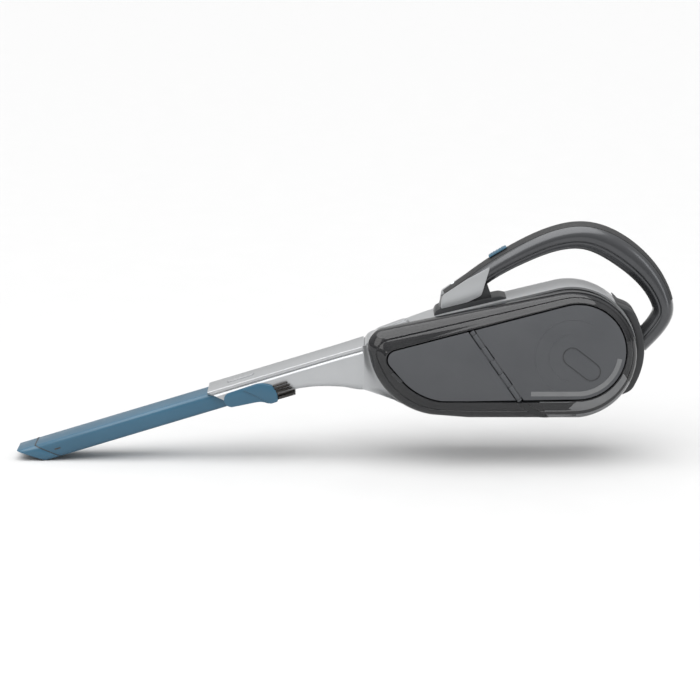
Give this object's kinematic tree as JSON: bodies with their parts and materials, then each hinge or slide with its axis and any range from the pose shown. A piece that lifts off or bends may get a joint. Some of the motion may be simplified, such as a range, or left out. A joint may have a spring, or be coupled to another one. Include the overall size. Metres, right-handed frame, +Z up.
{
  "type": "handheld vacuum",
  "caption": "Cordless handheld vacuum with a long sliding crevice tool, a flip-over brush, a side dust bowl with a door, and a loop handle.",
  "frame": {"origin": "on the flat underside, on the middle plane, under the body", "axes": "-X towards the nozzle, -Y towards the dust bowl, +Z up, the flat underside level"},
  "size_m": [0.6234, 0.1017, 0.2289],
  "materials": {
    "silver_plastic": "satin silver-grey metallic moulding",
    "gunmetal_plastic": "glossy gunmetal moulding",
    "dark_plastic": "dark satin moulding",
    "inner_plastic": "plain moulded",
    "panel_plastic": "fine matte grey",
    "blue_plastic": "satin petrol blue",
    "soft_grip": "soft matte overmould",
    "smoked_plastic": "smoked clear",
    "bristle": "coarse nylon",
    "filter_paper": "pleated paper",
    "steel": "plain",
    "cell_sleeve": "shrink sleeve",
    "board": "solder mask",
    "lens": "clear white"
  },
  "bodies": {
    "housing": {"nozzle_shell": "silver_plastic", "air_duct": "inner_plastic", "mid_frame": "dark_plastic", "housing_shell": "silver_plastic", "rear_cap": "dark_plastic", "exhaust_grille": "dark_plastic", "motor_can": "steel", "motor_mount": "inner_plastic", "fan_shroud": "inner_plastic", "battery_cells": "cell_sleeve", "battery_tray": "inner_plastic", "circuit_board": "board", "micro_switch": "dark_plastic", "charge_socket": "dark_plastic", "housing_screws": "steel", "filter_frame": "dark_plastic", "filter_pleats": "filter_paper", "filter_screen": "steel", "handle_neck": "silver_plastic", "handle_shell_near": "gunmetal_plastic", "handle_shell_far": "gunmetal_plastic", "grip_top": "soft_grip", "grip_under": "soft_grip", "status_lens": "lens"},
    "crevice_tool": {"crevice_tube": "blue_plastic", "crevice_tip": "blue_plastic", "crevice_stop": "dark_plastic"},
    "flip_brush": {"brush_frame": "blue_plastic", "brush_bristles": "bristle", "brush_pins": "blue_plastic"},
    "rotor": {"motor_shaft": "steel", "fan_impeller": "inner_plastic"},
    "dust_bin": {"dust_bowl": "smoked_plastic", "bowl_seal": "soft_grip", "bowl_panel": "panel_plastic", "hinge_pin": "steel"},
    "bin_door": {"bowl_door": "panel_plastic", "door_latch": "dark_plastic"},
    "bowl_release": {"bowl_release_button": "silver_plastic"},
    "tool_release": {"tool_release_button": "silver_plastic"},
    "switch_slider": {"power_switch": "blue_plastic"}
  },
  "joints": [
    {"name": "tool_slide", "type": "slide", "parent": "housing", "child": "crevice_tool", "axis": [0.9563, 0, 0.2924], "range_m": [0, 0.17]},
    {"name": "brush_flip", "type": "hinge", "parent": "housing", "child": "flip_brush", "pos_m": [-0.2835, 0, 0.01559], "axis": [0, 1, 0], "range_deg": [0, 130]},
    {"name": "fan_spin", "type": "hinge", "parent": "housing", "child": "rotor", "pos_m": [0.037, 0, 0.06], "axis": [0, 1, 0], "continuous": true},
    {"name": "bowl_pull", "type": "slide", "parent": "housing", "child": "dust_bin", "axis": [0, -1, 0], "range_m": [0, 0.045]},
    {"name": "door_swing", "type": "hinge", "parent": "dust_bin", "child": "bin_door", "pos_m": [-0.0344, -0.0485, 0.0508], "axis": [-0.5693, 0, 0.8221], "range_deg": [0, 95]},
    {"name": "bowl_release_press", "type": "slide", "parent": "housing", "child": "bowl_release", "axis": [0.3502, 0, -0.9367], "range_m": [0, 0.0012], "stiffness_N_per_m": 900},
    {"name": "tool_release_press", "type": "slide", "parent": "housing", "child": "tool_release", "axis": [0.2924, 0, -0.9563], "range_m": [0, 0.0007], "stiffness_N_per_m": 900},
    {"name": "power_slide", "type": "slide", "parent": "housing", "child": "switch_slider", "axis": [0.8616, 0, 0.5075], "range_m": [0, 0.005]}
  ]
}
